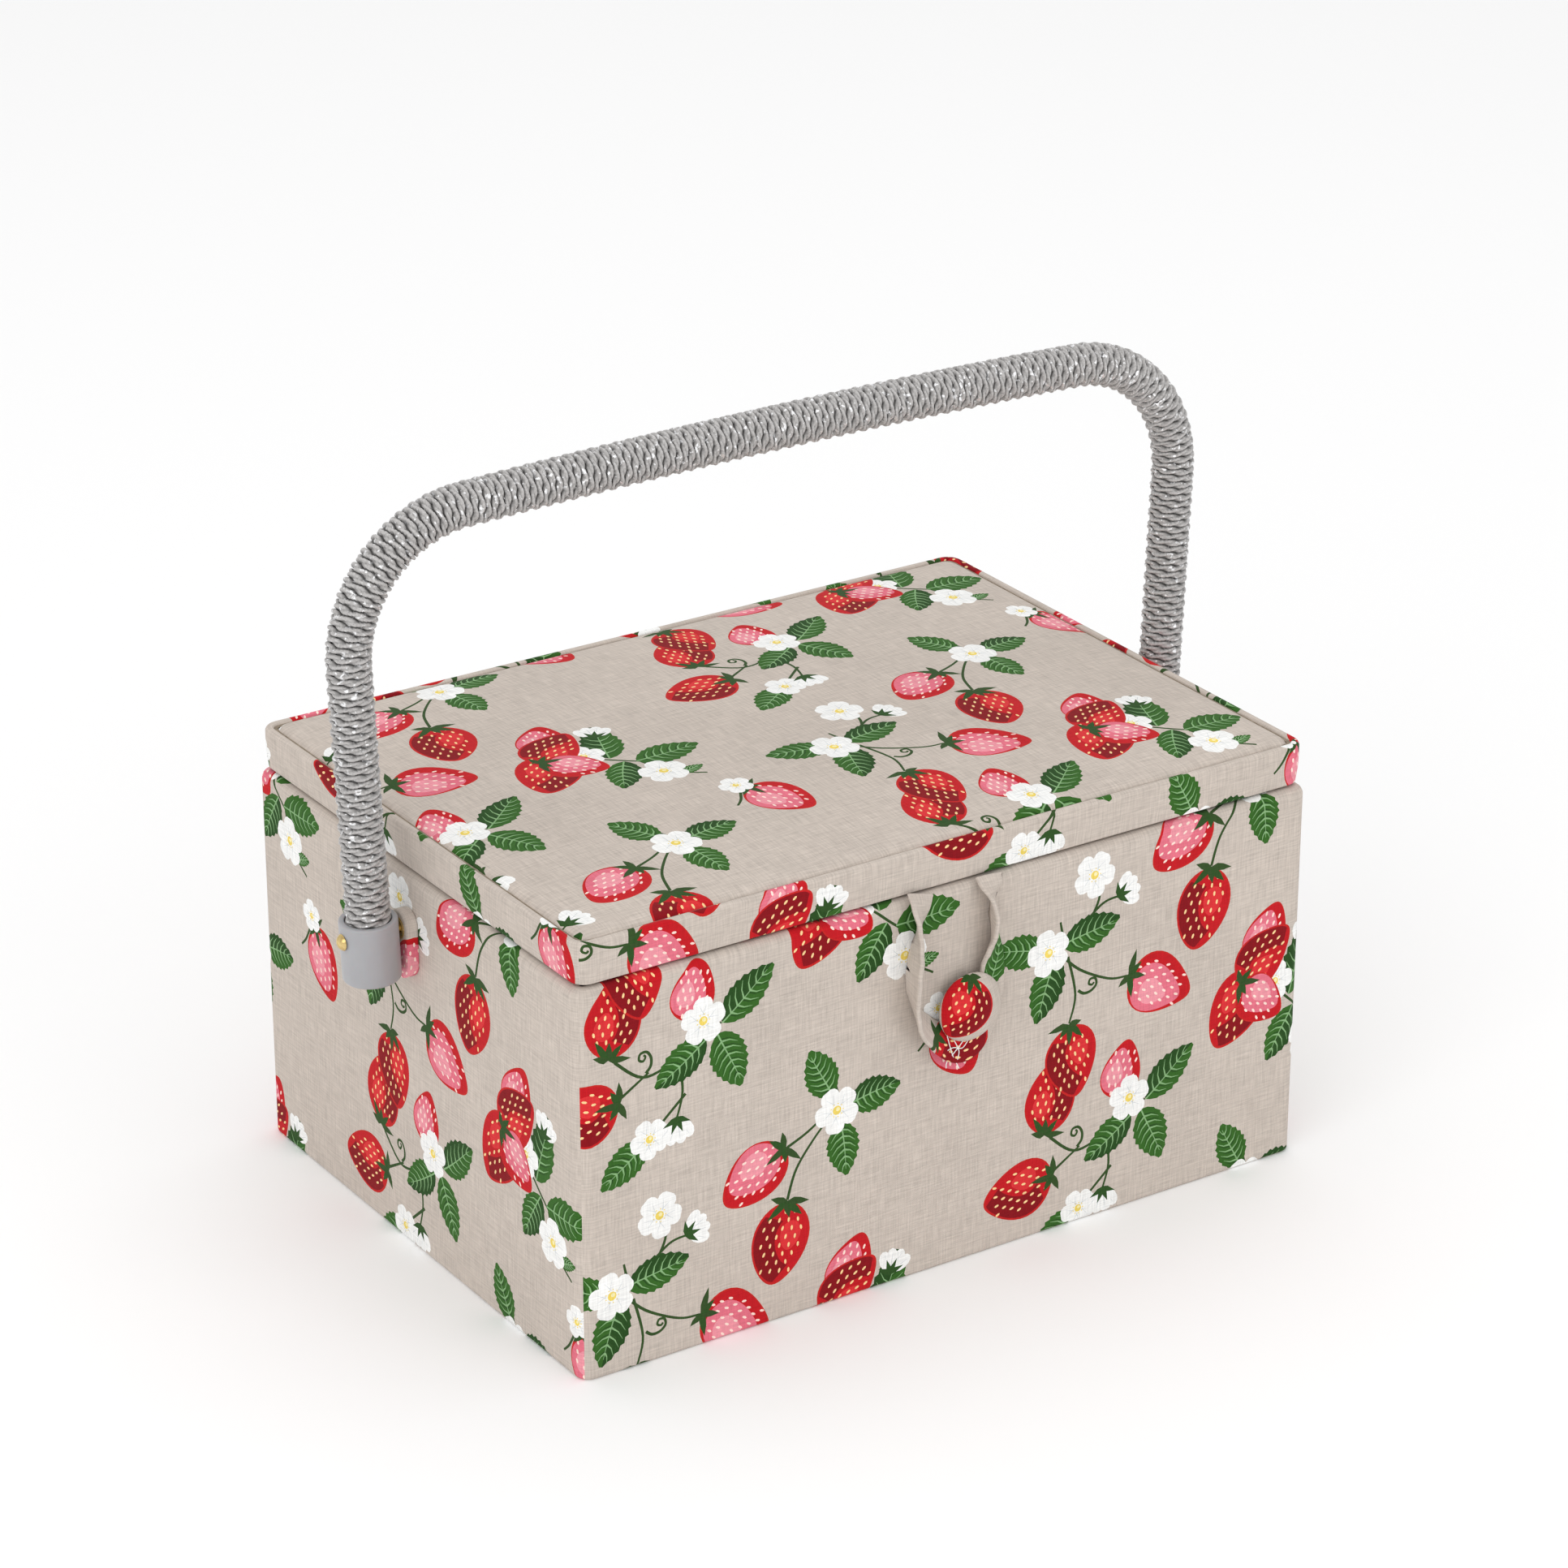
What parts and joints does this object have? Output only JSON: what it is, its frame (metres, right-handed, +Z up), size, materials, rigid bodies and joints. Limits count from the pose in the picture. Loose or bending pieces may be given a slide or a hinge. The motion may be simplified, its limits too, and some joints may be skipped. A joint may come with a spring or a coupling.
{
  "type": "sewing box with trays",
  "caption": "Rectangular fabric-covered board box with a padded hinged lid, a cord-wrapped swing handle, a button-and-loop closure and two lift-out compartment trays.",
  "frame": {"origin": "on the floor, under the middle of the box", "axes": "+X along the long side to the right, +Y to the back (hinge side), +Z up; the button and loop are on the -Y front"},
  "size_m": [0.3026, 0.1951, 0.24],
  "materials": {
    "greyboard": "plain grey-brown board, matte",
    "printed_linen": "natural linen-look weave printed with red berries, leaves and white blossoms",
    "base_paper": "textured natural book cloth",
    "satin": "smooth satin with a soft sheen",
    "quilted_satin": "satin quilted over thin wadding",
    "foam": "soft wadding",
    "elastic": "ribbed woven elastic",
    "ribbon": "narrow satin ribbon",
    "brass": "bright brass",
    "button_metal": "plain pressed aluminium",
    "handle_plastic": "plain grey moulded plastic",
    "cord": "two-ply grey cord with a fine silver thread, tightly wound",
    "ferrule_plastic": "pale grey satin moulded plastic",
    "tray_plastic": "frosted clear moulded plastic"
  },
  "bodies": {
    "box": {"base_board": "greyboard", "base_cover": "base_paper", "floor_pad": "quilted_satin", "front_board": "greyboard", "right_board": "greyboard", "back_board": "greyboard", "left_board": "greyboard", "front_cover": "printed_linen", "right_cover": "printed_linen", "back_cover": "printed_linen", "left_cover": "printed_linen", "wall_lining": "satin", "front_ledge": "satin", "back_ledge": "satin", "left_ledge": "satin", "right_ledge": "satin", "spacer_left": "printed_linen", "spacer_right": "printed_linen", "eyelet_left": "brass", "eyelet_right": "brass", "washer_left": "brass", "washer_right": "brass", "button_shell": "button_metal", "button_cover": "printed_linen", "button_shank": "button_metal", "button_back": "button_metal", "hinge_cloth": "printed_linen", "lid_stay_left": "ribbon", "lid_stay_right": "ribbon"},
    "lid": {"lid_board": "greyboard", "lid_front_rail": "greyboard", "lid_right_rail": "greyboard", "lid_back_rail": "greyboard", "lid_left_rail": "greyboard", "lid_front_cover": "printed_linen", "lid_right_cover": "printed_linen", "lid_back_cover": "printed_linen", "lid_left_cover": "printed_linen", "lid_foam": "foam", "lid_top_cover": "printed_linen", "lid_lining": "satin", "pin_cushion": "quilted_satin", "lid_pocket": "satin", "pocket_elastic": "elastic", "closure_tab": "printed_linen"},
    "closure": {"closure_loop": "printed_linen"},
    "handle_rivets": {"rivet_left": "brass", "rivet_right": "brass"},
    "handle": {"handle_core": "handle_plastic", "handle_wrap": "cord", "ferrule_left": "ferrule_plastic", "ferrule_right": "ferrule_plastic"},
    "upper_tray_body": {"upper_tray": "tray_plastic"},
    "lower_tray_body": {"lower_tray": "tray_plastic"}
  },
  "joints": [
    {"name": "lid_hinge", "type": "hinge", "parent": "box", "child": "lid", "pos_m": [0, 0.0926, 0.1229], "axis": [-1, 0, 0], "range_deg": [0, 105], "deforming": ["hinge_cloth", "lid_stay_left", "lid_stay_right"]},
    {"name": "handle_yield", "type": "hinge", "parent": "box", "child": "handle_rivets", "pos_m": [0, 0, 0.107], "axis": [-1, 0, 0], "range_deg": [0, 106]},
    {"name": "handle_swing", "type": "hinge", "parent": "handle_rivets", "child": "handle", "pos_m": [0, 0, 0.107], "axis": [-1, 0, 0], "range_deg": [-120, 15]},
    {"name": "closure_swing", "type": "hinge", "parent": "lid", "child": "closure", "pos_m": [0, -0.0928, 0.1229], "axis": [-1, 0, 0], "range_deg": [0, 100]},
    {"name": "upper_tray_lift", "type": "slide", "parent": "box", "child": "upper_tray_body", "axis": [0, 0, 1], "range_m": [0, 0.046]},
    {"name": "lower_tray_lift", "type": "slide", "parent": "box", "child": "lower_tray_body", "axis": [0, 0, 1], "range_m": [0, 0.023]}
  ],
  "couplings": [
    {"joint": "handle_yield", "follows": "lid_hinge", "ratio": 1},
    {"joint": "upper_tray_lift", "follows": "lid_hinge", "m_per_rad": 0.025},
    {"joint": "lower_tray_lift", "follows": "lid_hinge", "m_per_rad": 0.012}
  ]
}
